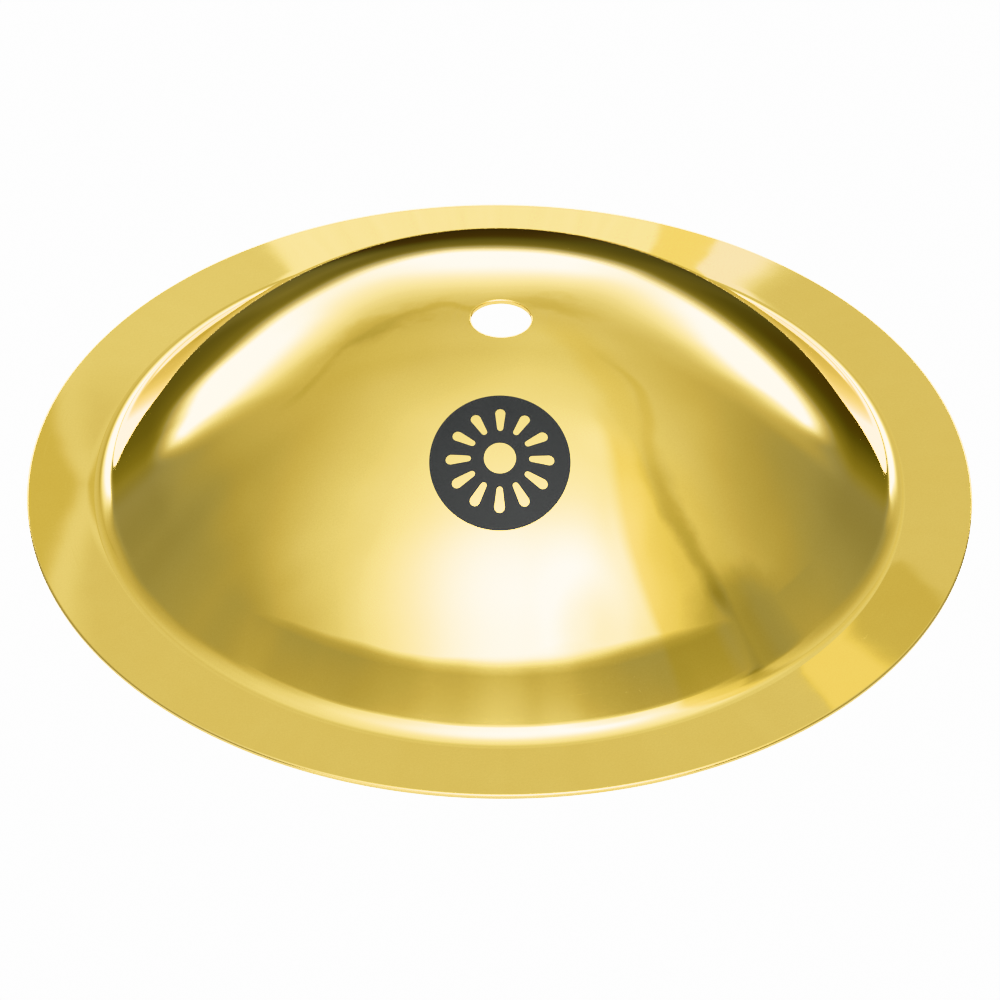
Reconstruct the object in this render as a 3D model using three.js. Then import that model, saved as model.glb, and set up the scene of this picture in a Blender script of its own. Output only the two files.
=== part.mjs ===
// Bell cymbal: a single disc of sheet brass pressed into a tall round bell with
// a sloping wall, a concave foot and a narrow flat brim, pierced at the crown
// for a stand rod, with one round printed mark on the side of the bell.
// Millimetres, +Z up. The origin is on the axis of the bell, in the plane that
// the brim rests on. The printed mark faces -Y.

import * as THREE from 'three';

// ---------------------------------------------------------------- dimensions
const RIM_R = 101.6;            // brim's outer radius (8 inch disc)
const SHEET_T = 1.2;            // thickness of the sheet, measured square to it
const EDGE_R = 0.45;            // rounding of the brim's two edges
const HOLE_R = 6.35;            // hole for the stand rod (1/2 inch)
const HOLE_EDGE = 0.15;         // broken edge of the hole
const SEAT_R = 8.3;             // level seat round the hole for the washers

const APEX_H = 43.9;            // top of the bell's arc above the brim's top face
const CROWN_R = 96.0;           // radius of the crown's arc (outside)
const CROWN_DEG = 22.4;         // slope where the crown meets the shoulder
const SHOULDER_R = 113.0;       // radius of the shoulder's flatter arc (outside)
const WALL_DEG = 46.45;         // slope where the shoulder meets the wall
const WALL_END_DEG = 45.75;     // slope at the wall's lower end
const FOOT_R = 7.6;             // radius of the concave foot's upper part (outside)
const FOOT_DEG = 20.5;          // slope where the foot's two parts meet
const TOE_R = 1.7;              // radius of its lower part (outside)

const MARK_Y = -37.8;           // middle of the round mark, seen from above
const MARK_R = 14.6;            // its radius, seen from above
const MARK_GAP = 0.05;          // between the sheet and the ink
const MARK_T = 0.15;            // thickness of the ink

const TURN = 80;                // facets round the axis

// ------------------------------------------------------------ bell's section
const rad = THREE.MathUtils.degToRad;
const SJ = rad(CROWN_DEG), SW = rad(WALL_DEG);
const SE = rad(WALL_END_DEG), SF = rad(FOOT_DEG);
const JOIN_R = CROWN_R * Math.sin(SJ);
const JOIN_H = APEX_H - CROWN_R * (1 - Math.cos(SJ));

// A point {r, z, s} of the outside face where the slope is s, on the crown's
// arc or on the shoulder's. z is measured from the brim's top face.
function onDome(s) {
  if (s <= SJ) {
    return { r: CROWN_R * Math.sin(s), z: APEX_H - CROWN_R * (1 - Math.cos(s)), s };
  }
  return {
    r: JOIN_R + SHOULDER_R * (Math.sin(s) - Math.sin(SJ)),
    z: JOIN_H - SHOULDER_R * (Math.cos(SJ) - Math.cos(s)),
    s,
  };
}

// The same from the distance to the axis.
function domeAt(r) {
  return onDome(r <= JOIN_R
    ? Math.asin(r / CROWN_R)
    : Math.asin(Math.sin(SJ) + (r - JOIN_R) / SHOULDER_R));
}

// Points of the outside face from the hole out to the brim.
function outsideSection() {
  const pts = [];
  // level seat at the height of the hole's lip
  const lip = domeAt(HOLE_R + HOLE_EDGE).z;
  pts.push({ r: HOLE_R, z: lip, s: 0 });
  pts.push({ r: SEAT_R, z: lip, s: 0 });
  // crown and shoulder
  for (const r of [11, 17, 23, 29.5]) pts.push(domeAt(r));
  const n = 7;
  for (let i = 0; i <= n; i++) pts.push(onDome(SJ + (SW - SJ) * (i / n)));
  // wall down to the foot, whose two arcs end level with the brim
  const b = pts[pts.length - 1];
  const midZ = TOE_R * (1 - Math.cos(SF));
  const footTop = midZ + FOOT_R * (Math.cos(SF) - Math.cos(SE));
  const rTop = b.r + (b.z - footTop) / Math.tan((SW + SE) / 2);
  if (rTop < b.r) throw new Error('the shoulder reaches below the foot');
  const rMid = rTop + FOOT_R * (Math.sin(SE) - Math.sin(SF));
  const k = 4;
  for (let i = 0; i <= k; i++) {
    const s = SE + (SF - SE) * (i / k);
    pts.push({
      r: rTop + FOOT_R * (Math.sin(SE) - Math.sin(s)),
      z: midZ + FOOT_R * (Math.cos(SF) - Math.cos(s)),
      s,
    });
  }
  for (const s of [SF / 2, 0]) {
    pts.push({
      r: rMid + TOE_R * (Math.sin(SF) - Math.sin(s)),
      z: TOE_R * (1 - Math.cos(s)),
      s,
    });
  }
  return pts;
}

function shellProfile() {
  const out = outsideSection();
  const p = [];
  const add = (r, z) => p.push(new THREE.Vector2(r, z));
  // brim's edge, from the underside up
  const q = EDGE_R;
  add(RIM_R - q, 0);
  add(RIM_R - q * 0.29, q * 0.29);
  add(RIM_R, q);
  add(RIM_R, SHEET_T - q);
  add(RIM_R - q * 0.29, SHEET_T - q * 0.29);
  add(RIM_R - q, SHEET_T);
  // outside face, inwards and up to the hole
  for (let i = out.length - 1; i >= 1; i--) add(out[i].r, out[i].z + SHEET_T);
  const top = out[0].z + SHEET_T;
  add(HOLE_R + HOLE_EDGE, top);
  add(HOLE_R, top - HOLE_EDGE);
  // hole's wall, and the inside face back down and out to the brim
  const under = top - SHEET_T;
  add(HOLE_R, under + HOLE_EDGE);
  add(HOLE_R + HOLE_EDGE, under);
  for (let i = 1; i < out.length; i++) {
    const { r, z, s } = out[i];
    add(r - SHEET_T * Math.sin(s), z + SHEET_T - SHEET_T * Math.cos(s));
  }
  p.push(p[0].clone());
  return p;
}

function shellGeometry() {
  const g = new THREE.LatheGeometry(shellProfile(), TURN);
  g.rotateX(Math.PI / 2);
  return g;
}

// ------------------------------------------------------------- printed mark
// A thin patch that follows the bell and is round when seen from above.
function markGeometry() {
  const rings = 4, turn = 36;
  const point = (f, t, lift) => {
    const x = MARK_R * f * Math.cos(t);
    const y = MARK_Y + MARK_R * f * Math.sin(t);
    const rho = Math.hypot(x, y);
    const { z, s } = domeAt(rho);
    const out = 1 + (lift * Math.sin(s)) / rho;
    return new THREE.Vector3(x * out, y * out, z + SHEET_T + lift * Math.cos(s));
  };
  const pos = [];
  const layer = (lift) => {
    const first = pos.length / 3;
    pos.push(...point(0, 0, lift).toArray());
    for (let k = 1; k <= rings; k++) {
      for (let j = 0; j < turn; j++) {
        pos.push(...point(k / rings, (j / turn) * 2 * Math.PI, lift).toArray());
      }
    }
    return first;
  };
  const lo = layer(MARK_GAP), hi = layer(MARK_GAP + MARK_T);
  const at = (base, k, j) => (k === 0 ? base : base + 1 + (k - 1) * turn + (j % turn));
  const idx = [];
  const tri = (flip, a, b, c) => idx.push(...(flip ? [a, c, b] : [a, b, c]));
  for (let j = 0; j < turn; j++) {
    for (const [base, flip] of [[hi, false], [lo, true]]) {
      for (let k = 1; k <= rings; k++) {
        const a = at(base, k - 1, j), b = at(base, k - 1, j + 1);
        const c = at(base, k, j + 1), d = at(base, k, j);
        tri(flip, a, d, c);
        if (k > 1) tri(flip, a, c, b);
      }
    }
    const a = at(lo, rings, j), b = at(lo, rings, j + 1);
    const c = at(hi, rings, j + 1), d = at(hi, rings, j);
    idx.push(a, b, c, a, c, d);
  }
  const g = new THREE.BufferGeometry();
  g.setAttribute('position', new THREE.Float32BufferAttribute(pos, 3));
  g.setIndex(idx);
  g.computeVertexNormals();
  return g;
}

// ----------------------------------------------------------------- assembly
const group = new THREE.Group();

const bell = new THREE.Mesh(
  shellGeometry(),
  new THREE.MeshStandardMaterial({ color: 0xe3c56a, roughness: 0.14, metalness: 1.0 }),
);
bell.name = 'bell_shell';
group.add(bell);

const mark = new THREE.Mesh(
  markGeometry(),
  new THREE.MeshStandardMaterial({ color: 0x454746, roughness: 0.55, metalness: 0.0 }),
);
mark.name = 'printed_mark';
group.add(mark);

export default group;
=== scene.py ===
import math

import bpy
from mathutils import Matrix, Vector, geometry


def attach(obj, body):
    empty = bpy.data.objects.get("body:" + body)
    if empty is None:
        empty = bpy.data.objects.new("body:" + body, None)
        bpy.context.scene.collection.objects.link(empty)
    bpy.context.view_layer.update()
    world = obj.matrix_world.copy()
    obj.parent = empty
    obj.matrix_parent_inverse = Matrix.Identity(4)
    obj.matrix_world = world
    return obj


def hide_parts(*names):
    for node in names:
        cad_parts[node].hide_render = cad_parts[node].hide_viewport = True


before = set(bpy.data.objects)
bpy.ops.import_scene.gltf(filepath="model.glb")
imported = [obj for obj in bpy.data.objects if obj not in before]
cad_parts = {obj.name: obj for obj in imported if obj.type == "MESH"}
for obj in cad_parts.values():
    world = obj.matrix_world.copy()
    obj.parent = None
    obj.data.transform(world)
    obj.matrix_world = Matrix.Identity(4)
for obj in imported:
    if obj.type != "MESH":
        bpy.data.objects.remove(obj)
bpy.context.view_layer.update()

# Bell cymbal: one dense revolved sheet of polished brass and a printed mark,
# on a plain pale floor in a soft studio. Metres, +Z up, origin on the axis in
# the plane of the brim's underside. The mark faces -Y.

MM = 0.001

# ------------------------------------------------------------- dimensions, mm
RIM_R, SHEET_T, EDGE_R = 101.6, 1.2, 0.45
HOLE_R, HOLE_EDGE = 6.35, 0.3
APEX_H, CROWN_R, CROWN_DEG = 43.9, 96.0, 22.4
SHOULDER_R, WALL_DEG, WALL_END_DEG = 113.0, 46.45, 45.75
FOOT_R, FOOT_DEG, TOE_R = 7.6, 20.5, 1.7
MARK_Y, MARK_R = -37.8, 14.6
MARK_GAP, MARK_T = 0.015, 0.035
TURN = 360

SJ, SW = math.radians(CROWN_DEG), math.radians(WALL_DEG)
SE, SF = math.radians(WALL_END_DEG), math.radians(FOOT_DEG)


# ------------------------------------------------------------- bell's section
def raw_section():
    """(length, slope) of the outside face from the hole outwards, as plain arcs."""
    s0 = math.asin(HOLE_R / CROWN_R)
    runs = []
    runs.append((CROWN_R * (SJ - s0), s0, SJ))
    runs.append((SHOULDER_R * (SW - SJ), SJ, SW))
    join_r = CROWN_R * math.sin(SJ)
    join_h = APEX_H - CROWN_R * (1 - math.cos(SJ))
    rb = join_r + SHOULDER_R * (math.sin(SW) - math.sin(SJ))
    zb = join_h - SHOULDER_R * (math.cos(SJ) - math.cos(SW))
    mid = (SW + SE) / 2
    foot_top = TOE_R * (1 - math.cos(SF)) + FOOT_R * (math.cos(SF) - math.cos(SE))
    runs.append(((zb - foot_top) / math.sin(mid), SW, SE))
    runs.append((FOOT_R * (SE - SF), SE, SF))
    runs.append((TOE_R * SF, SF, 0.0))
    r_brim = rb + (zb - foot_top) / math.tan(mid) + FOOT_R * (math.sin(SE) - math.sin(SF)) + TOE_R * math.sin(SF)
    runs.append((RIM_R - EDGE_R - r_brim, 0.0, 0.0))
    return runs


def section(step=0.05, sigma=0.45):
    """Dense points (r, z, slope) of the outside face; the arcs run into each
    other softly, as they do on a pressed sheet. z is above the brim's top."""
    runs = raw_section()
    total = sum(r[0] for r in runs)
    n = int(total / step)
    h = total / n

    def slope_at(l):
        for length, a, b in runs:
            if l <= length:
                return a + (b - a) * (l / length)
            l -= length
        return 0.0

    raw = [slope_at((i + 0.5) * h) for i in range(n)]
    k = int(3 * sigma / h)
    w = [math.exp(-0.5 * (j * h / sigma) ** 2) for j in range(-k, k + 1)]
    tw = sum(w)
    soft = []
    for i in range(n):
        acc = 0.0
        for j in range(-k, k + 1):
            q = i + j
            if q < 0:
                v = raw[0] + (raw[0] - raw[min(-q, n - 1)])
            elif q >= n:
                v = 0.0
            else:
                v = raw[q]
            acc += v * w[j + k]
        soft.append(acc / tw)
    r, z = HOLE_R, APEX_H - CROWN_R * (1 - math.cos(math.asin(HOLE_R / CROWN_R)))
    pts = [(r, z, soft[0])]
    for i, s in enumerate(soft):
        r += h * math.cos(s)
        z -= h * math.sin(s)
        nxt = soft[i + 1] if i + 1 < n else 0.0
        pts.append((r, z, 0.5 * (s + nxt)))
    # the sums come out level with the brim and at its edge
    end_r, end_z = pts[-1][0] - (RIM_R - EDGE_R), pts[-1][1]
    span = pts[-1][0] - HOLE_R
    out = []
    for (r, z, s) in pts:
        f = (r - HOLE_R) / span
        out.append((r - end_r * f, z - end_z * min(1.0, f * 1.18), s))
    return out


SECTION = section()


def z_outside(rho):
    """Height and slope of the outside face at a distance from the axis, in mm
    above the brim's top."""
    lo, hi = 0, len(SECTION) - 1
    while hi - lo > 1:
        m = (lo + hi) // 2
        if SECTION[m][0] <= rho:
            lo = m
        else:
            hi = m
    a, b = SECTION[lo], SECTION[hi]
    f = (rho - a[0]) / (b[0] - a[0])
    return a[1] + (b[1] - a[1]) * f, a[2] + (b[2] - a[2]) * f


def thin(pts, fine):
    """Fewer points where the section is nearly straight."""
    keep = [pts[0]]
    for p in pts[1:-1]:
        q = keep[-1]
        d = math.hypot(p[0] - q[0], p[1] - q[1])
        if d >= 1.6 or (d >= fine and abs(p[2] - q[2]) >= math.radians(0.7)):
            keep.append(p)
    keep.append(pts[-1])
    return keep


def bell_profile():
    """Closed loop of (r, z, nr, nz) in mm, outwards normals, from the rim's
    underside round the rim, up the outside, through the hole and back."""
    loop = []
    add = lambda r, z, nr, nz: loop.append((r, z, nr, nz))
    q = EDGE_R
    arc = 7
    for i in range(arc + 1):
        a = math.pi / 2 * i / arc
        add(RIM_R - q + q * math.sin(a), q - q * math.cos(a), math.sin(a), -math.cos(a))
    for i in range(arc + 1):
        a = math.pi / 2 * i / arc
        add(RIM_R - q + q * math.cos(a), SHEET_T - q + q * math.sin(a), math.cos(a), math.sin(a))
    loop.pop()
    top = [p for p in SECTION if p[0] >= HOLE_R + HOLE_EDGE * 1.02]
    for r, z, s in reversed(thin(top, 0.12)):
        add(r, z + SHEET_T, math.sin(s), math.cos(s))
    # hole: rounded lip, wall, rounded lip below
    lip, s_lip = z_outside(HOLE_R + HOLE_EDGE)
    lip += SHEET_T
    e = HOLE_EDGE
    for i in range(1, 7):
        a = math.pi / 2 * i / 6
        add(HOLE_R + e - e * math.sin(a), lip - e + e * math.cos(a) - 0.004, -math.sin(a), math.cos(a))
    low = lip - SHEET_T
    add(HOLE_R, low + e * 1.3, -1, 0)
    for i in range(0, 6):
        a = math.pi / 2 * i / 6
        add(HOLE_R + e - e * math.cos(a), low + e - e * math.sin(a), -math.cos(a), -math.sin(a))
    under = []
    for r, z, s in SECTION:
        ri, zi = r - SHEET_T * math.sin(s), z + SHEET_T - SHEET_T * math.cos(s)
        if ri >= HOLE_R + e * 1.02 and ri <= RIM_R - EDGE_R - 0.02:
            under.append((ri, max(0.0, zi), s))
    for r, z, s in thin(under, 0.12):
        add(r, z, -math.sin(s), -math.cos(s))
    return loop


def revolve(name, loop, turn):
    """A closed solid of revolution with exact normals."""
    cs = [(math.cos(2 * math.pi * j / turn), math.sin(2 * math.pi * j / turn)) for j in range(turn)]
    n = len(loop)
    verts, normals, faces = [], [], []
    for c, s in cs:
        for r, z, nr, nz in loop:
            verts.append((r * c * MM, r * s * MM, z * MM))
            normals.append((nr * c, nr * s, nz))
    for j in range(turn):
        a, b = j * n, ((j + 1) % turn) * n
        for i in range(n):
            k = (i + 1) % n
            faces.append((a + i, b + i, b + k, a + k))
    me = bpy.data.meshes.new(name)
    me.from_pydata(verts, [], faces)
    me.update()
    for p in me.polygons:
        p.use_smooth = True
    me.normals_split_custom_set_from_vertices(normals)
    ob = bpy.data.objects.new(name, me)
    bpy.context.scene.collection.objects.link(ob)
    return ob


bell = revolve("bell_sheet", bell_profile(), TURN)


# --------------------------------------------------------------- printed mark
def ring(cx, cy, rad, n, start=0.0):
    return [
        (cx + rad * math.cos(start + 2 * math.pi * i / n), cy + rad * math.sin(start + 2 * math.pi * i / n))
        for i in range(n)
    ]


def slot_outline(ang, r0, r1, w0, w1, n=6):
    """A bar with round ends that points away from the middle; w0 and w1 are
    its half widths at the inner and the outer end."""
    ux, uy = math.cos(ang), math.sin(ang)
    vx, vy = -uy, ux
    pts = []
    for i in range(n + 1):
        a = -math.pi / 2 + math.pi * i / n
        pts.append((r1 - w1 + w1 * math.cos(a), w1 * math.sin(a)))
    m = 5
    for i in range(1, m):
        f = i / m
        pts.append(((r1 - w1) * (1 - f) + (r0 + w0) * f, w1 * (1 - f) + w0 * f))
    for i in range(n + 1):
        a = math.pi / 2 + math.pi * i / n
        pts.append((r0 + w0 + w0 * math.cos(a), w0 * math.sin(a)))
    for i in range(1, m):
        f = i / m
        pts.append(((r0 + w0) * (1 - f) + (r1 - w1) * f, -w0 * (1 - f) - w1 * f))
    return [(ux * a + vx * b, uy * a + vy * b) for a, b in pts]


def mark_film(name):
    """A round film of ink with plain cut-outs, laid on the bell. The outlines
    are round and straight when they are seen from above."""
    outer = ring(0, 0, MARK_R, 144)
    holes = []
    for i in range(12):
        holes.append(slot_outline(math.radians(90 + 30 * i), 6.0, 11.2, 0.62, 1.05))
    holes.append(ring(0, 0, 3.3, 48))
    pts, edges = [], []

    def loop(l):
        b = len(pts)
        pts.extend(Vector(p) for p in l)
        edges.extend((b + i, b + (i + 1) % len(l)) for i in range(len(l)))

    loop(outer)
    for h in holes:
        loop(h)

    def inside(p, poly):
        c = False
        j = len(poly) - 1
        for i in range(len(poly)):
            xi, yi = poly[i]
            xj, yj = poly[j]
            if (yi > p[1]) != (yj > p[1]) and p[0] < (xj - xi) * (p[1] - yi) / (yj - yi) + xi:
                c = not c
            j = i
        return c

    def near(p, poly, d):
        return any((p[0] - a) ** 2 + (p[1] - b) ** 2 < d * d for a, b in poly)

    g = 0.9
    m = int(MARK_R / g) + 1
    for i in range(-m, m + 1):
        for j in range(-m, m + 1):
            p = (i * g + (0.5 * g if j % 2 else 0.0), j * g * 0.87)
            if math.hypot(*p) > MARK_R - 0.5:
                continue
            if any(inside(p, h) or near(p, h, 0.3) for h in holes):
                continue
            pts.append(Vector(p))
    v2, _, f2, _, _, _ = geometry.delaunay_2d_cdt(pts, edges, [], 0, 1e-6)
    tris = []
    for f in f2:
        c = sum((v2[i] for i in f), Vector((0, 0))) / len(f)
        if math.hypot(*c) > MARK_R or not inside(c, outer):
            continue
        if any(inside(c, h) for h in holes):
            continue
        a, b, d = (v2[i] for i in f[:3])
        ccw = (b.x - a.x) * (d.y - a.y) - (b.y - a.y) * (d.x - a.x) > 0
        tris.append(tuple(f) if ccw else tuple(reversed(f)))
    used = sorted({i for t in tris for i in t})
    new = {i: k for k, i in enumerate(used)}
    n = len(used)

    def place(p, lift):
        x, y = p.x, p.y + MARK_Y
        rho = math.hypot(x, y)
        z, s = z_outside(rho)
        k = 1 + lift * math.sin(s) / rho
        return (x * k * MM, y * k * MM, (z + SHEET_T + lift * math.cos(s)) * MM)

    verts = [place(v2[i], MARK_GAP + MARK_T) for i in used] + [place(v2[i], MARK_GAP) for i in used]
    faces = [tuple(new[i] for i in t) for t in tris]
    faces += [tuple(n + new[i] for i in reversed(t)) for t in tris]
    count = {}
    for t in tris:
        for a, b in zip(t, t[1:] + t[:1]):
            count[(a, b)] = True
    for a, b in list(count):
        if (b, a) not in count:
            faces.append((new[b], new[a], n + new[a], n + new[b]))
    me = bpy.data.meshes.new(name)
    me.from_pydata(verts, [], faces)
    me.update()
    ob = bpy.data.objects.new(name, me)
    bpy.context.scene.collection.objects.link(ob)
    return ob


mark = mark_film("mark_print")


# -------------------------------------------------------------- node helpers
class Nodes:
    """Short names for shader nodes; numbers and sockets can be mixed."""

    def __init__(self, tree):
        self.t = tree
        tree.nodes.clear()

    def new(self, kind, **props):
        n = self.t.nodes.new(kind)
        for k, v in props.items():
            setattr(n, k, v)
        return n

    def put(self, sock, v):
        if isinstance(v, bpy.types.NodeSocket):
            self.t.links.new(v, sock)
        else:
            sock.default_value = v

    def m(self, op, a, b=None, c=None, clamp=False):
        n = self.new("ShaderNodeMath", operation=op, use_clamp=clamp)
        for s, v in zip(n.inputs, (a, b, c)):
            if v is not None:
                self.put(s, v)
        return n.outputs[0]

    def add(self, *v):
        out = v[0]
        for x in v[1:]:
            out = self.m("ADD", out, x)
        return out

    def mul(self, *v):
        out = v[0]
        for x in v[1:]:
            out = self.m("MULTIPLY", out, x)
        return out

    def sub(self, a, b):
        return self.m("SUBTRACT", a, b)

    def ss(self, x, a, b, lo=0.0, hi=1.0):
        """Soft step from lo at a to hi at b."""
        n = self.new("ShaderNodeMapRange", interpolation_type="SMOOTHSTEP", clamp=True)
        for k, v in zip(("Value", "From Min", "From Max", "To Min", "To Max"), (x, a, b, lo, hi)):
            self.put(n.inputs[k], v)
        return n.outputs["Result"]

    def lerp(self, a, b, f):
        """a where f is 0, b where f is 1."""
        n = self.new("ShaderNodeMix", data_type="FLOAT")
        self.put(n.inputs[0], f)
        self.put(n.inputs[2], a)
        self.put(n.inputs[3], b)
        return n.outputs[0]

    def blob(self, X, Y, cx, cy, ax, ay, turn=0.0, inner=0.35):
        """1 inside a soft ellipse, 0 outside it; turn is in degrees."""
        c, s = math.cos(math.radians(turn)), math.sin(math.radians(turn))
        dx, dy = self.sub(X, cx), self.sub(Y, cy)
        u = self.mul(self.add(self.mul(dx, c), self.mul(dy, s)), 1.0 / ax)
        v = self.mul(self.add(self.mul(dy, c), self.mul(dx, -s)), 1.0 / ay)
        q = self.m("SQRT", self.add(self.mul(u, u), self.mul(v, v)))
        return self.ss(q, inner, 1.0, 1.0, 0.0)

    def curve(self, x, pts, x0, x1, y0, y1):
        """A smooth curve through a few points."""
        n = self.new("ShaderNodeFloatCurve")
        c = n.mapping.curves[0]
        q = [((a - x0) / (x1 - x0), (b - y0) / (y1 - y0)) for a, b in sorted(pts)]
        while len(c.points) < len(q):
            c.points.new(0.5, 0.5)
        for p, v in zip(c.points, q):
            p.location = v
            p.handle_type = "AUTO"
        n.mapping.extend = "HORIZONTAL"
        n.mapping.update()
        self.put(n.inputs["Value"], self.mul(self.sub(x, x0), 1.0 / (x1 - x0)))
        return self.add(self.mul(n.outputs[0], y1 - y0), y0)

    def noise(self, vec, scale, detail=2.0, rough=0.5, dims="3D"):
        n = self.new("ShaderNodeTexNoise", noise_dimensions=dims)
        self.put(n.inputs["Vector"], vec)
        n.inputs["Scale"].default_value = scale
        n.inputs["Detail"].default_value = detail
        n.inputs["Roughness"].default_value = rough
        return n.outputs["Fac"]

    def vec(self, x, y, z):
        n = self.new("ShaderNodeCombineXYZ")
        for s, v in zip(n.inputs, (x, y, z)):
            self.put(s, v)
        return n.outputs[0]

    def rgb_mix(self, a, b, f, blend="MIX"):
        n = self.new("ShaderNodeMix", data_type="RGBA", blend_type=blend)
        self.put(n.inputs[0], f)
        self.put(n.inputs[6], a)
        self.put(n.inputs[7], b)
        return n.outputs[2]


# ------------------------------------------------------------------ materials
def brass(name):
    mat = bpy.data.materials.new(name)
    mat.use_nodes = True
    N = Nodes(mat.node_tree)
    out = N.new("ShaderNodeOutputMaterial")
    bsdf = N.new("ShaderNodeBsdfPrincipled")
    N.t.links.new(bsdf.outputs[0], out.inputs[0])
    bsdf.inputs["Metallic"].default_value = 1.0
    tc = N.new("ShaderNodeTexCoord").outputs["Object"]
    sep = N.new("ShaderNodeSeparateXYZ")
    N.put(sep.inputs[0], tc)
    x, y, z = (N.mul(s, 1000.0) for s in sep.outputs)  # mm
    rho = N.m("SQRT", N.add(N.mul(x, x), N.mul(y, y)))
    ux, uy = N.m("DIVIDE", x, N.m("MAXIMUM", rho, 0.01)), N.m("DIVIDE", y, N.m("MAXIMUM", rho, 0.01))
    mm = N.vec(x, y, z)
    # length down the section, near enough, for marks that run round the axis
    down = N.sub(rho, N.mul(z, 0.8))
    spin = N.vec(N.mul(ux, 1.3), N.mul(uy, 1.3), N.mul(down, 2.6))
    spin_n = N.noise(spin, 1.0, 4.0, 0.62)
    broad = N.noise(mm, 0.035, 3.0, 0.55)
    cloud = N.noise(mm, 0.16, 4.0, 0.6)
    grain = N.noise(mm, 5.5, 2.0, 0.5)
    # long hair-fine arcs, few and faint
    arcs = N.noise(N.vec(N.mul(ux, 2.2), N.mul(uy, 2.2), N.mul(down, 9.0)), 1.0, 1.0, 0.5)
    arcs = N.ss(arcs, 0.735, 0.775)
    seg = N.ss(N.noise(N.vec(N.mul(ux, 3.0), N.mul(uy, 3.0), N.mul(down, 0.05)), 1.0, 1.0, 0.5), 0.5, 0.62)
    hair = N.mul(arcs, seg)
    # tiny rub marks in any direction
    warp = N.vec(N.add(x, N.mul(cloud, 9.0)), N.mul(y, 0.12), N.mul(z, 0.3))
    rub_a = N.ss(N.noise(warp, 2.2, 1.0, 0.5), 0.765, 0.80)
    rub = N.mul(rub_a, N.ss(broad, 0.5, 0.62))
    # the cut edges: the hole's wall and lips, and the rim's edge; the rim's edge also gets a darker base colour below,
    # which is painted shade
    hole = N.ss(rho, HOLE_R + 0.45, HOLE_R + 0.2)
    rim_edge_and_shade = N.ss(rho, RIM_R - 0.42, RIM_R - 0.2)
    cut = N.m("MAXIMUM", hole, rim_edge_and_shade)
    # washers have rubbed round the hole
    seat = N.mul(N.ss(rho, 15.0, 9.0), N.ss(rho, HOLE_R, HOLE_R + 1.0))
    rubbed = N.mul(seat, N.ss(spin_n, 0.46, 0.66))

    rough = N.add(
        N.ss(rho, 84.0, 89.0, 0.028, 0.017),
        N.mul(N.sub(cloud, 0.5), 0.022),
        N.mul(N.sub(spin_n, 0.5), 0.016),
        N.mul(hair, 0.06),
        N.mul(rub, 0.05),
        N.mul(rubbed, 0.05),
        N.mul(cut, 0.16),
    )
    N.put(bsdf.inputs["Roughness"], N.m("MAXIMUM", rough, 0.012))

    tone = N.new("ShaderNodeValToRGB")
    tone.color_ramp.elements[0].position = 0.30
    tone.color_ramp.elements[0].color = (0.955, 0.742, 0.205, 1)
    tone.color_ramp.elements[1].position = 0.72
    tone.color_ramp.elements[1].color = (0.975, 0.772, 0.226, 1)
    N.put(tone.inputs[0], N.add(N.mul(broad, 0.7), N.mul(cloud, 0.3)))
    col = N.rgb_mix(tone.outputs[0], (0.88, 0.67, 0.18, 1), N.mul(N.ss(N.add(N.mul(grain, 0.6), N.mul(N.noise(mm, 2.6, 2.0, 0.6), 0.4)), 0.36, 0.64), 0.42))
    col = N.rgb_mix(col, (0.90, 0.66, 0.17, 1), N.mul(hole, 0.55))
    # painted shade: the rim's edge is darkened in its base colour so that it looks dimmer than the hole's lip
    col = N.rgb_mix(col, (0.80, 0.61, 0.19, 1), N.mul(rim_edge_and_shade, 0.8))
    col = N.rgb_mix(col, (0.93, 0.735, 0.235, 1), N.mul(rubbed, 0.35))
    N.put(bsdf.inputs["Base Color"], col)

    # slow waves of the sheet, spinning marks, fine grain, all in metres
    h = N.add(
        N.mul(N.noise(mm, 0.055, 1.0, 0.4), 1.3e-5),
        N.mul(spin_n, 6.0e-8),
        N.mul(grain, 2.2e-8),
        N.mul(hair, -1.5e-7),
        N.mul(rub, -1.0e-7),
    )
    bump = N.new("ShaderNodeBump")
    bump.inputs["Strength"].default_value = 1.0
    bump.inputs["Distance"].default_value = 1.0
    N.put(bump.inputs["Height"], h)
    N.put(bsdf.inputs["Normal"], bump.outputs[0])
    return mat


def ink(name):
    mat = bpy.data.materials.new(name)
    mat.use_nodes = True
    N = Nodes(mat.node_tree)
    out = N.new("ShaderNodeOutputMaterial")
    bsdf = N.new("ShaderNodeBsdfPrincipled")
    N.t.links.new(bsdf.outputs[0], out.inputs[0])
    tc = N.new("ShaderNodeTexCoord").outputs["Object"]
    fine = N.noise(tc, 2600.0, 3.0, 0.6)
    wide = N.noise(tc, 170.0, 3.0, 0.55)
    ramp = N.new("ShaderNodeValToRGB")
    ramp.color_ramp.elements[0].position = 0.3
    ramp.color_ramp.elements[0].color = (0.0180, 0.0187, 0.0183, 1)
    ramp.color_ramp.elements[1].position = 0.75
    ramp.color_ramp.elements[1].color = (0.0209, 0.0216, 0.0211, 1)
    N.put(ramp.inputs[0], N.add(N.mul(fine, 0.45), N.mul(wide, 0.55)))
    N.put(bsdf.inputs["Base Color"], ramp.outputs[0])
    N.put(bsdf.inputs["Roughness"], N.add(0.62, N.mul(N.sub(wide, 0.5), 0.16)))
    bsdf.inputs["Specular IOR Level"].default_value = 0.12
    bump = N.new("ShaderNodeBump")
    bump.inputs["Strength"].default_value = 0.6
    bump.inputs["Distance"].default_value = 1.0
    N.put(bump.inputs["Height"], N.mul(fine, 1.2e-5))
    N.put(bsdf.inputs["Normal"], bump.outputs[0])
    return mat


bell.data.materials.append(brass("brass_polished"))
mark.data.materials.append(ink("ink_print"))
for ob, node, slot in ((bell, "bell_shell", "polished_brass"), (mark, "printed_mark", "black_ink")):
    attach(ob, "root")
    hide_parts(node)


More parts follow.
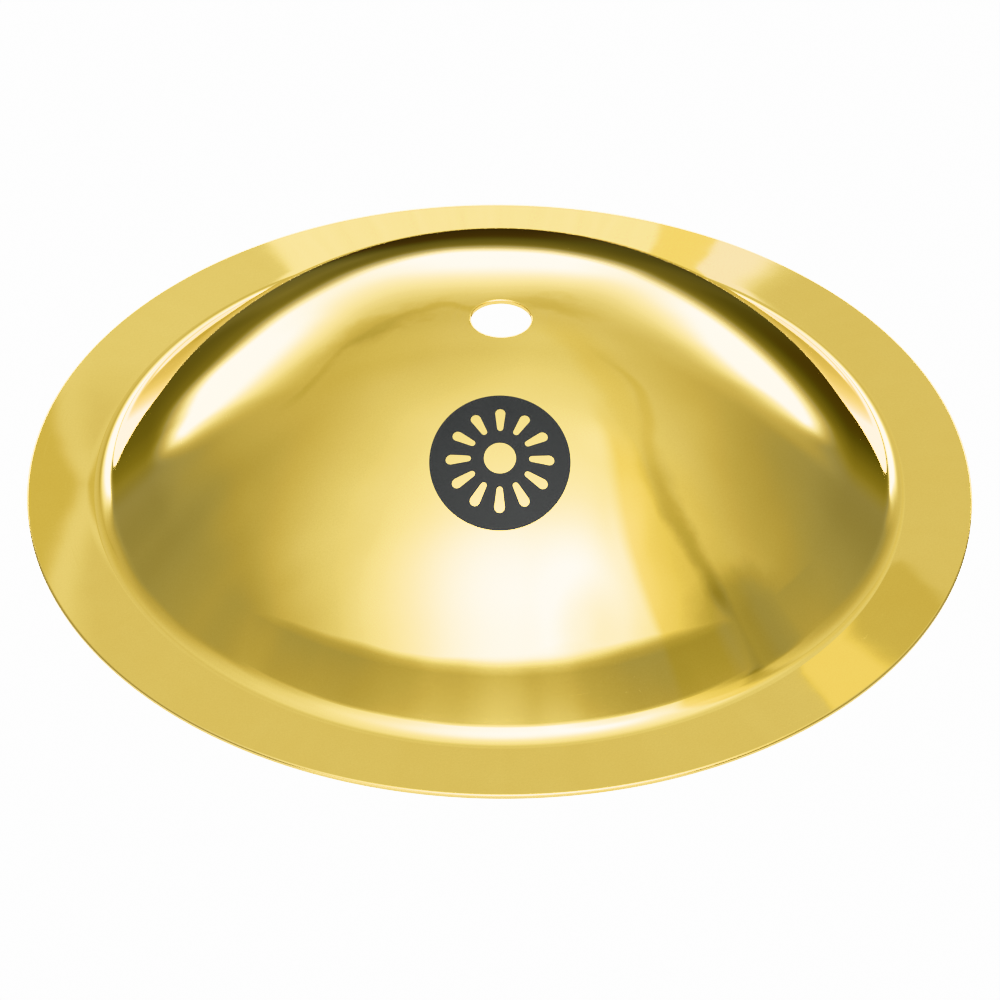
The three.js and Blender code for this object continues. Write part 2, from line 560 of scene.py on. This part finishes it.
# --------------------------------------------------------------- studio light
def room(N, dx, dy, dz, X, Y, zen, az, wa, wb):
    """Tone and warmth of the studio in every direction."""
    aaz = N.m("ABSOLUTE", az)
    # ceiling and the large soft box over the front, falling off to the sides
    q = N.mul(N.m("ABSOLUTE", N.sub(X, 4.0)), 1 / 46)
    fall = N.curve(q, [(0, 0), (0.25, 0.055), (0.5, 0.25), (0.75, 0.57), (1, 1.0), (1.2, 1.4), (1.5, 2.0), (2.2, 2.2)], 0, 2.4, 0, 2.4)
    top = N.curve(Y, [(-50, 0.975), (-36, 0.978), (-22, 0.981), (-14, 0.966), (-6, 0.93), (2, 0.893), (10, 0.87), (18, 0.855), (26, 0.832),
                      (34, 0.808), (42, 0.778), (50, 0.762), (70, 0.75)], -60, 80, 0, 1)
    t = N.sub(top, N.mul(fall, N.ss(Y, -12, 6, 0.205, 0.148)))
    right = N.curve(Y, [(-44, 50), (-30, 43), (-24, 38), (-14, 31.5), (-4, 27.5), (5, 25.5), (14, 23.5), (25, 19), (40, 12)], -45, 45, -80, 80)
    rr = N.sub(right, X)
    lift = N.mul(N.ss(rr, -2.2, 2.2), N.ss(X, 6, 22), N.ss(Y, 34, 4))
    t = N.add(t, N.mul(lift, 0.03), N.mul(N.blob(X, Y, 30, 2, 7, 20, 0, 0.2), 0.03))
    # warm card beside it, and the narrow dark gap behind the card
    c = N.curve(Y, [(-24, 58), (-12, 53), (-7, 49.5), (-2, 44), (3, 39.5), (9, 35.5), (18, 31.5), (30, 27), (42, 20), (55, 11)], -45, 60, 0, 80)
    s = N.add(N.sub(X, c), N.mul(wa, 0.35))
    card = N.mul(N.ss(rr, 2.2, -2.2), N.ss(s, 1.0, -3.5), N.ss(Y, 30, 10))
    t = N.sub(t, N.mul(card, N.ss(Y, 12, -10, 0.012, 0.012)))
    gap = N.mul(N.ss(N.m("ABSOLUTE", s), 0.3, 5.8, 1, 0), N.ss(Y, 24, 0), N.ss(Y, -14, -9))
    t = N.sub(t, N.mul(gap, 0.13))
    upper = N.mul(N.ss(N.m("ABSOLUTE", N.add(s, 2.0)), 1.0, 8.0, 1, 0), N.ss(Y, 60, 46), N.ss(Y, 4, 18))
    t = N.sub(t, N.mul(upper, 0.01))
    beyond = N.mul(N.ss(s, 0.0, 5.0), N.ss(s, 17.0, 8.0), N.ss(Y, 26, 8))
    warm = N.m("MAXIMUM", N.mul(card, 0.95), N.m("MAXIMUM", N.mul(gap, 0.9), N.m("MAXIMUM", N.mul(beyond, 0.55), N.mul(upper, 0.5))))
    low_r = N.blob(N.add(X, N.mul(wa, 0.4)), N.add(Y, N.mul(wb, 0.4)), 57, -8, 21, 10, 57, 0.2)
    t = N.sub(t, N.mul(low_r, 0.12))
    # the front lights end here; what is below them is dim
    Yr = N.mul(N.sub(Y, 30.0), 1 / 73.5)
    Xr = N.mul(X, 1 / 70.0)
    f = N.m("SQRT", N.add(N.mul(Xr, Xr), N.mul(Yr, Yr)))
    fe = N.add(f, N.ss(X, -14, -40, 0.0, 0.020), N.ss(X, 14, 45, 0.0, 0.025), N.ss(N.m("ABSOLUTE", N.sub(X, 1.0)), 10, 1, 0.0, -0.006))
    edge = N.curve(fe, [(0.86, 0.99), (0.93, 0.98), (0.955, 0.962), (0.97, 0.90), (0.985, 0.79), (1.0, 0.665), (1.011, 0.60), (1.022, 0.555),
                        (1.05, 0.53)], 0.8, 1.1, 0, 1)
    t = N.m("MINIMUM", t, edge)
    # low walls, seen only from other sides
    t = N.lerp(t, 0.60, N.ss(f, 1.08, 1.2))
    # warm shade above the backdrop, mostly on the left
    shade = N.blob(N.add(X, wa), N.add(Y, wb), -24, 56, 22, 7, 16, 0.1)
    shade = N.m("MAXIMUM", shade, N.mul(N.blob(X, N.add(Y, wb), 8, 60, 15, 6, -8, 0.1), 0.75))
    t = N.add(t, N.mul(N.blob(X, Y, -56, 47, 32, 22, 0, 0.15), 0.085), N.mul(N.blob(X, Y, -10, 42, 18, 28, 0, 0.2), -0.024),
              N.mul(N.blob(X, Y, 53, 28, 15, 30, 0, 0.2), -0.036), N.mul(N.blob(X, Y, -40, 4, 22, 16, 0, 0.2), 0.018),
              N.mul(N.blob(X, Y, 44, 55, 22, 9, 0, 0.2), 0.05), N.mul(N.blob(X, Y, -6, 47, 40, 8, 0, 0.2), 0.02),
              N.mul(N.blob(X, Y, 25, 15, 11, 8, 0, 0.2), 0.018), N.mul(N.blob(X, Y, -58, 20, 9, 14, 0, 0.2), 0.02),
              N.mul(N.blob(X, Y, -48, -8, 19, 14, 0, 0.2), 0.035), N.mul(N.blob(X, Y, 22, -31, 11, 15, 0, 0.2), -0.03),
              N.mul(N.blob(X, Y, 54, 55, 13, 8, 0, 0.2), 0.04), N.mul(N.blob(X, Y, -73, 47, 11, 14, 0, 0.2), -0.04))
    t = N.sub(t, N.mul(shade, 0.05))
    warm = N.m("MAXIMUM", warm, N.m("MAXIMUM", N.mul(shade, 0.7), N.mul(N.blob(X, Y, -30, 47, 24, 16, 0, 0.2), 0.4)))
    # torn edge of that shade, and a fold that runs up from the gap
    sy = N.sub(N.add(Y, N.mul(wb, 0.3)), N.curve(X, [(-46, 41), (-40, 43), (-36, 46), (-33, 49.5), (-28, 54), (-22, 56.5), (-16, 59.5),
                                                     (-10, 61), (-5, 57.5), (2, 57), (10, 60)], -46, 10, 30, 70))
    torn = N.mul(N.ss(sy, 1.6, 0.0), N.ss(sy, -3.5, -0.6), N.ss(X, -46, -38), N.ss(X, 12, -2))
    ln = N.sub(X, N.curve(Y, [(0, 44), (4, 40), (10, 34.8), (18, 32), (28, 30.5), (36, 27.5), (42, 21), (52, 12)], 0, 52, 0, 60))
    fold = N.mul(N.ss(N.m("ABSOLUTE", ln), 0.3, 2.6, 1, 0), N.ss(Y, 48, 36), N.ss(Y, 3, 12))
    t = N.sub(t, N.mul(N.add(torn, fold), 0.028))
    warm = N.m("MAXIMUM", warm, N.m("MAXIMUM", N.mul(torn, 0.75), N.mul(fold, 0.6)))
    # white backdrop: two bright lobes and a band between them
    r0 = N.curve(az, [(-60, 80), (-50, 65), (-44, 61), (-40, 57.5), (-36, 56.5), (-30, 56), (-24, 56.5), (-16, 55), (-8, 56), (0, 57), (8, 59.5), (14, 58),
                      (20, 56.5), (26, 59.5), (30, 62.5), (35, 64), (39, 67), (42, 69.5), (46, 74), (60, 92)], -60, 60, 40, 100)
    r1 = N.curve(az, [(-60, 108), (-50, 98), (-44, 86), (-40, 78.5), (-36, 77), (-30, 78), (-24, 82), (-16, 88), (-8, 84), (0, 81), (8, 84), (14, 88),
                      (20, 86), (26, 80), (30, 77), (35, 77), (39, 81), (42, 85.5), (46, 95), (60, 110)], -60, 60, 40, 120)
    rise = N.ss(N.m("DIVIDE", N.sub(zen, r0), N.sub(r1, r0)), 0.0, 1.0)
    ends = N.mul(N.ss(az, 47.0, 41.0), N.ss(az, -51.0, -44.0), N.ss(X, 60.5, 54.5), N.ss(X, -64.5, -57.5))
    back = N.mul(rise, ends)
    dip = N.m("MAXIMUM", N.ss(N.m("ABSOLUTE", N.add(az, 15)), 0, 9, 1, 0), N.ss(N.m("ABSOLUTE", N.sub(az, 14)), 0, 8, 1, 0))
    cream = N.mul(N.ss(az, -28, -21), N.ss(az, -3, -12), N.ss(zen, 90, 80))
    t = N.lerp(t, N.sub(N.sub(0.981, N.mul(dip, 0.026)), N.mul(cream, 0.012)), back)
    warm = N.mul(warm, N.sub(1.0, back))
    # below the horizon: a dark room
    zo = N.curve(az, [(-60, 98), (-53, 94), (-47, 90), (-41, 89.4), (-37, 91.0), (-33, 92.3), (-27, 91.2), (-22, 92.0), (-16, 93.2), (-11, 94.9),
                      (-6, 95.2), (0, 93.4), (5, 94.0), (10, 94.4), (13.4, 93.0), (17.6, 91.5), (22, 90.5), (26, 90.0), (31, 89.9), (36, 89.8), (42, 88.8),
                      (47, 90), (53, 94), (60, 98)], -60, 60, 60, 100)
    dd = N.sub(zen, zo)
    low = N.add(
        N.curve(dd, [(-10, 0.50), (0, 0.47), (4, 0.375), (9, 0.30), (15, 0.27), (30, 0.25)], -10, 30, 0, 1),
        N.mul(N.ss(N.m("ABSOLUTE", N.add(az, 2)), 2.5, 8, 1, 0), N.ss(dd, 6, 14, 0.0, -0.08)),
        N.mul(N.ss(az, -10, -18), N.ss(az, -36, -28), N.ss(dd, 1, 7, 0.0, 0.035)),
        N.mul(N.ss(aaz, 34, 42), N.ss(dd, -3, 5, 0.0, 0.04)),
        N.mul(N.ss(N.m("ABSOLUTE", N.add(az, 12)), 2, 8, 1, 0), N.ss(dd, 4, 10, 0.0, 0.09)),
        N.mul(N.ss(N.m("ABSOLUTE", N.sub(az, 11.5)), 1, 4, 1, 0), N.ss(dd, 4, 10, 0.0, 0.03)),
        N.mul(N.ss(az, 13, 24), N.ss(dd, 3, 10, 0.0, -0.06)),
    )
    drop = N.ss(dd, -4.6, 4.0, 1, 0)
    # white again behind the camera, low down
    rear = N.mul(N.ss(aaz, 132, 142), N.ss(zen, 66, 78))
    t = N.lerp(t, 0.93, rear)
    t = N.lerp(low, t, drop)
    return t, warm, drop


def studio():
    """Soft boxes and walls all round, by direction. X and Y are degrees from
    straight up, to the right and to the back. Tone runs from 0, unlit, to 1,
    the face of a soft box, and is turned into light at the end."""
    w = bpy.data.worlds.new("studio")
    bpy.context.scene.world = w
    w.use_nodes = True
    N = Nodes(w.node_tree)
    d = N.new("ShaderNodeTexCoord").outputs["Generated"]
    sep = N.new("ShaderNodeSeparateXYZ")
    N.put(sep.inputs[0], d)
    dx, dy, dz = sep.outputs
    flat = N.m("MAXIMUM", N.m("SQRT", N.add(N.mul(dx, dx), N.mul(dy, dy))), 1e-5)
    zen = N.mul(N.m("ARCCOSINE", dz), 57.29578)
    k = N.m("DIVIDE", zen, flat)
    # cloth and card edges are never quite straight
    wob = N.sub(N.noise(d, 3.1, 2.0, 0.5), 0.5)
    wob2 = N.sub(N.noise(N.vec(dy, dz, dx), 3.7, 2.0, 0.5), 0.5)
    wa = N.mul(N.sub(N.noise(d, 7.0, 3.0, 0.6), 0.5), 16.0)
    wb = N.mul(N.sub(N.noise(N.vec(dz, dx, dy), 8.0, 3.0, 0.6), 0.5), 16.0)
    X = N.add(N.mul(dx, k), N.mul(wob, 1.2))
    Y = N.add(N.mul(dy, k), N.mul(wob2, 1.2))
    az = N.mul(N.m("ARCTAN2", dx, dy), 57.29578)
    t, warm, drop = room(N, dx, dy, dz, X, Y, zen, az, wa, wb)
    # dim side walls low down, and the bright floor at the sides and in front
    aaz = N.m("ABSOLUTE", az)
    t = N.lerp(t, 0.62, N.mul(N.ss(aaz, 56, 68), N.ss(zen, 84, 96), N.ss(aaz, 135, 125)))
    t = N.lerp(t, 0.85, N.mul(N.ss(zen, 106, 118), N.ss(aaz, 22, 45)))

    # what the flat brim shows: a card hung high at the back, drawn as the
    # plan of the ring that mirrors it
    up = N.m("MAXIMUM", dz, 0.02)
    pu = N.mul(N.m("DIVIDE", dx, up), 749.1)
    pv = N.sub(N.mul(N.m("DIVIDE", dy, up), 749.1), 937.3)
    pr = N.m("SQRT", N.add(N.mul(pu, pu), N.mul(pv, pv)))
    ph = N.mul(N.m("ARCTAN2", pu, pv), 57.29578)
    card = N.mul(N.ss(pr, 78, 84), N.ss(pr, 114, 105.5), N.ss(dz, 0.0, 0.2))
    rays_ = N.sub(N.noise(N.vec(N.mul(ph, 0.55), N.mul(pr, 0.006), 0.0), 1.0, 3.0, 0.65), 0.5)
    b = N.add(0.748, N.mul(rays_, 0.015))
    b = N.add(b, N.mul(N.ss(ph, -80, -60), N.ss(ph, -20, -31), 0.035))
    pale = N.mul(N.ss(N.add(ph, N.mul(pr, 0.0)), -33.0, -31.0), N.ss(ph, 43, 33))
    b = N.lerp(b, N.add(0.88, N.mul(rays_, 0.05)), pale)
    slant = N.add(ph, N.mul(N.sub(pr, 95.0), 0.08))
    yel = N.mul(N.ss(slant, 20.6, 21.8), N.ss(slant, 30.0, 29.3))
    b = N.lerp(b, 0.85, yel)
    wht = N.mul(N.ss(slant, 29.3, 30.0), N.ss(ph, 40, 35))
    b = N.lerp(b, 0.878, wht)
    sl2 = N.sub(ph, N.mul(N.sub(pr, 95.0), 0.16))
    sl3 = N.sub(ph, N.mul(N.sub(pr, 95.0), 0.38))
    och = N.mul(N.ss(sl3, 108.6, 110.8), N.ss(sl2, 137.5, 136.0))
    b = N.lerp(b, 0.70, och)
    bri = N.mul(N.ss(sl2, 122.0, 127.5), N.ss(sl2, 137.5, 136.0))
    b = N.lerp(b, 0.84, bri)
    # slanting warm card on the left, brighter along its lower edge
    el = N.add(N.m("ABSOLUTE", N.add(ph, 92.5)), N.mul(N.sub(pr, 90.5), -1.6))
    wedge = N.mul(N.ss(el, 3.5, -3.5), N.ss(pr, 90, 92.5))
    b = N.lerp(b, 0.718, wedge)
    lip = N.mul(N.ss(el, 17.0, 6.0), N.ss(el, -3.0, 5.0))
    b = N.lerp(b, 0.80, N.mul(lip, N.ss(ph, -80, -96, 0.65, 1.0)))
    t = N.lerp(t, b, card)

    # tone to light
    ramp = N.new("ShaderNodeValToRGB")
    cr = ramp.color_ramp
    stops = [(0.10, 0.0264), (0.15, 0.1081), (0.20, 0.1705), (0.25, 0.2194), (0.30, 0.2602), (0.40, 0.3242),
             (0.50, 0.3733), (0.60, 0.4143), (0.70, 0.4509), (0.80, 0.4873), (0.84, 0.5156), (0.88, 0.5737),
             (0.90, 0.6184), (0.92, 0.6704), (0.94, 0.7297), (0.95, 0.7632), (0.96, 0.8010), (0.97, 0.8461),
             (0.98, 0.9047), (0.985, 0.9438)]
    while len(cr.elements) < len(stops):
        cr.elements.new(0.5)
    for e, (p, v) in zip(cr.elements, stops):
        e.position = p
        e.color = (v, v, v, 1)
    N.put(ramp.inputs[0], t)
    sepc = N.new("ShaderNodeSeparateColor")
    N.put(sepc.inputs[0], ramp.outputs[0])
    E = N.m("POWER", 2.0, N.sub(N.mul(sepc.outputs[0], 12.0), 6.0))
    # tints: warm cards, slightly brown in the dark, slightly cool when bright
    warm_b = N.add(N.mul(yel, 1.1), N.mul(och, 0.6), N.mul(bri, 1.2), N.mul(wedge, 0.9))
    warm = N.m("MINIMUM", N.lerp(warm, warm_b, card), 1.2)
    tint = N.rgb_mix((1, 1, 1, 1), (1.02, 0.955, 0.78, 1), N.mul(N.ss(t, 0.80, 0.68), N.ss(t, 0.53, 0.62)))
    tint = N.rgb_mix(tint, (1.0, 0.93, 0.66, 1), warm)
    tint = N.rgb_mix(tint, (1.0, 0.93, 0.50, 1), N.mul(N.sub(1.0, drop), N.ss(t, 0.62, 0.48)))
    tint = N.rgb_mix(tint, (1.12, 0.80, 0.50, 1), N.ss(t, 0.28, 0.18))
    pale_f = N.mul(N.ss(t, 0.77, 0.86), N.ss(t, 0.88, 0.94, 1.0, 0.0))
    tint = N.rgb_mix(tint, (0.98, 1.01, 1.22, 1), N.mul(pale_f, N.sub(1.0, N.m("MINIMUM", warm, 1.0))))
    tint = N.rgb_mix(tint, (0.97, 1.0, 1.75, 1), N.mul(wht, card))
    lit = N.new("ShaderNodeVectorMath", operation="SCALE")
    N.put(lit.inputs[0], tint)
    N.put(lit.inputs["Scale"], E)
    bg = N.new("ShaderNodeBackground")
    N.put(bg.inputs[0], lit.outputs[0])
    plain = N.new("ShaderNodeBackground")
    plain.inputs[0].default_value = (1, 1, 1, 1)
    plain.inputs[1].default_value = 5.5
    lp = N.new("ShaderNodeLightPath")
    mix = N.new("ShaderNodeMixShader")
    N.put(mix.inputs[0], lp.outputs["Is Camera Ray"])
    N.t.links.new(bg.outputs[0], mix.inputs[1])
    N.t.links.new(plain.outputs[0], mix.inputs[2])
    out = N.new("ShaderNodeOutputWorld")
    N.t.links.new(mix.outputs[0], out.inputs[0])
    return w


studio()


# ---------------------------------------------------------------------- floor
def floor():
    """Plain white floor, lit evenly, that lets the view through from below."""
    me = bpy.data.meshes.new("floor")
    r, n = 3.0, 96
    me.from_pydata([(r * math.cos(2 * math.pi * i / n), r * math.sin(2 * math.pi * i / n), -0.0004) for i in range(n)], [], [tuple(range(n))])
    ob = bpy.data.objects.new("floor", me)
    bpy.context.scene.collection.objects.link(ob)
    mat = bpy.data.materials.new("floor_white")
    mat.use_nodes = True
    N = Nodes(mat.node_tree)
    em = N.new("ShaderNodeEmission")
    em.inputs[0].default_value = (1, 1, 1, 1)
    em.inputs[1].default_value = 5.5
    clear = N.new("ShaderNodeBsdfTransparent")
    geo = N.new("ShaderNodeNewGeometry")
    mix = N.new("ShaderNodeMixShader")
    N.put(mix.inputs[0], geo.outputs["Backfacing"])
    N.t.links.new(em.outputs[0], mix.inputs[1])
    N.t.links.new(clear.outputs[0], mix.inputs[2])
    out = N.new("ShaderNodeOutputMaterial")
    N.t.links.new(mix.outputs[0], out.inputs[0])
    me.materials.append(mat)
    ob.visible_glossy = False
    ob.visible_diffuse = False
    ob.visible_shadow = False


floor()


# --------------------------------------------------------------------- camera
def camera():
    """1.2 m from the rim's middle, 38.6 degrees up, tilted slightly."""
    dist, up_deg, roll = 1.2, 38.629, math.radians(0.473)
    e = math.radians(up_deg)
    middle = Vector((0, 0, SHEET_T * MM))
    away = Vector((0, -math.cos(e), math.sin(e)))
    fwd = -away
    right = Vector((1, 0, 0))
    up = right.cross(fwd).normalized()
    r2 = right * math.cos(roll) + up * math.sin(roll)
    u2 = up * math.cos(roll) - right * math.sin(roll)
    px = 5573.0
    aim = (fwd + r2 * ((500 - 499.78) / px) + u2 * ((480.352 - 500) / px)).normalized()
    r3 = (r2 - aim * r2.dot(aim)).normalized()
    u3 = r3.cross(aim).normalized()
    m = Matrix((r3, u3, -aim)).transposed().to_4x4()
    m.translation = middle + away * dist
    data = bpy.data.cameras.new("camera")
    data.sensor_width = 36.0
    data.lens = 36.0 * px / 1000.0
    data.clip_start, data.clip_end = 0.05, 50.0
    ob = bpy.data.objects.new("camera", data)
    bpy.context.scene.collection.objects.link(ob)
    ob.matrix_world = m
    bpy.context.scene.camera = ob


camera()

vs = bpy.context.scene.view_settings
bpy.context.scene.display_settings.display_device = "sRGB"
vs.view_transform = "Khronos PBR Neutral"
vs.look = "None"
vs.exposure = 0.0
vs.gamma = 1.0
